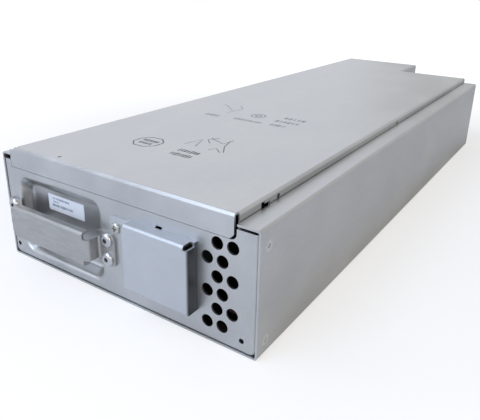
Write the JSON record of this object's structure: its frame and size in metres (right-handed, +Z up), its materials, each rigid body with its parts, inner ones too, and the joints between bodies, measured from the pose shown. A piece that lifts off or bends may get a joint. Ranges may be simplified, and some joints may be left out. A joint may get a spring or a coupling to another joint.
{
  "type": "ups battery cartridge",
  "caption": "Long folded steel battery drawer for a rack power supply, with a raised cover, a pull handle in a hand recess, a vented front and a covered output connector",
  "frame": {"origin": "middle of the flat base, midway between the side walls and between the front face and the rear of the long side", "axes": "+X to the right seen from the front, +Y from the front panel to the rear, +Z up"},
  "size_m": [0.207, 0.5784, 0.082],
  "materials": {
    "case_sheet": "galvanised, satin",
    "cover_sheet": "zinc plated, satin",
    "handle_strip": "brushed",
    "rivets": "satin",
    "screws": "zinc plated",
    "label": "satin",
    "battery_case": "fine grained",
    "contacts": "tinned",
    "insulation": "smooth",
    "foam": "open cell foam",
    "connector_housing": "moulded",
    "fuse_holder": "moulded",
    "fuse": "glazed ends of metal",
    "lead_red": "insulated",
    "lead_black": "insulated"
  },
  "bodies": {
    "root": {"base_insulator": "insulation", "battery_block_01": "battery_case", "battery_block_02": "battery_case", "battery_block_03": "battery_case", "battery_block_04": "battery_case", "battery_block_05": "battery_case", "battery_block_06": "battery_case", "battery_block_07": "battery_case", "battery_block_08": "battery_case", "battery_block_09": "battery_case", "battery_block_10": "battery_case", "block_terminals": "contacts", "centre_divider": "insulation", "chassis_tray": "case_sheet", "connector_contacts": "contacts", "connector_cover": "cover_sheet", "connector_cover_screw": "screws", "connector_lead": "lead_red", "cover_screws": "screws", "front_foam": "foam", "front_panel": "case_sheet", "fuse": "fuse", "fuse_cap": "fuse_holder", "fuse_holder": "fuse_holder", "handle": "handle_strip", "handle_rivets": "rivets", "main_lead_negative": "lead_black", "main_lead_positive": "lead_red", "output_connector": "connector_housing", "partition": "insulation", "rear_foam_left": "foam", "rear_foam_right": "foam", "rear_panel": "case_sheet", "recess_label": "label", "series_lead_1": "lead_black", "series_lead_2": "lead_black", "series_lead_3": "lead_black", "series_lead_4": "lead_black", "series_lead_5": "lead_black", "series_lead_6": "lead_black", "series_lead_7": "lead_black", "series_lead_8": "lead_black", "series_lead_9": "lead_black", "side_rivets": "rivets", "top_cover": "case_sheet", "top_foam_left": "foam", "top_foam_right": "foam"}
  },
  "joints": []
}
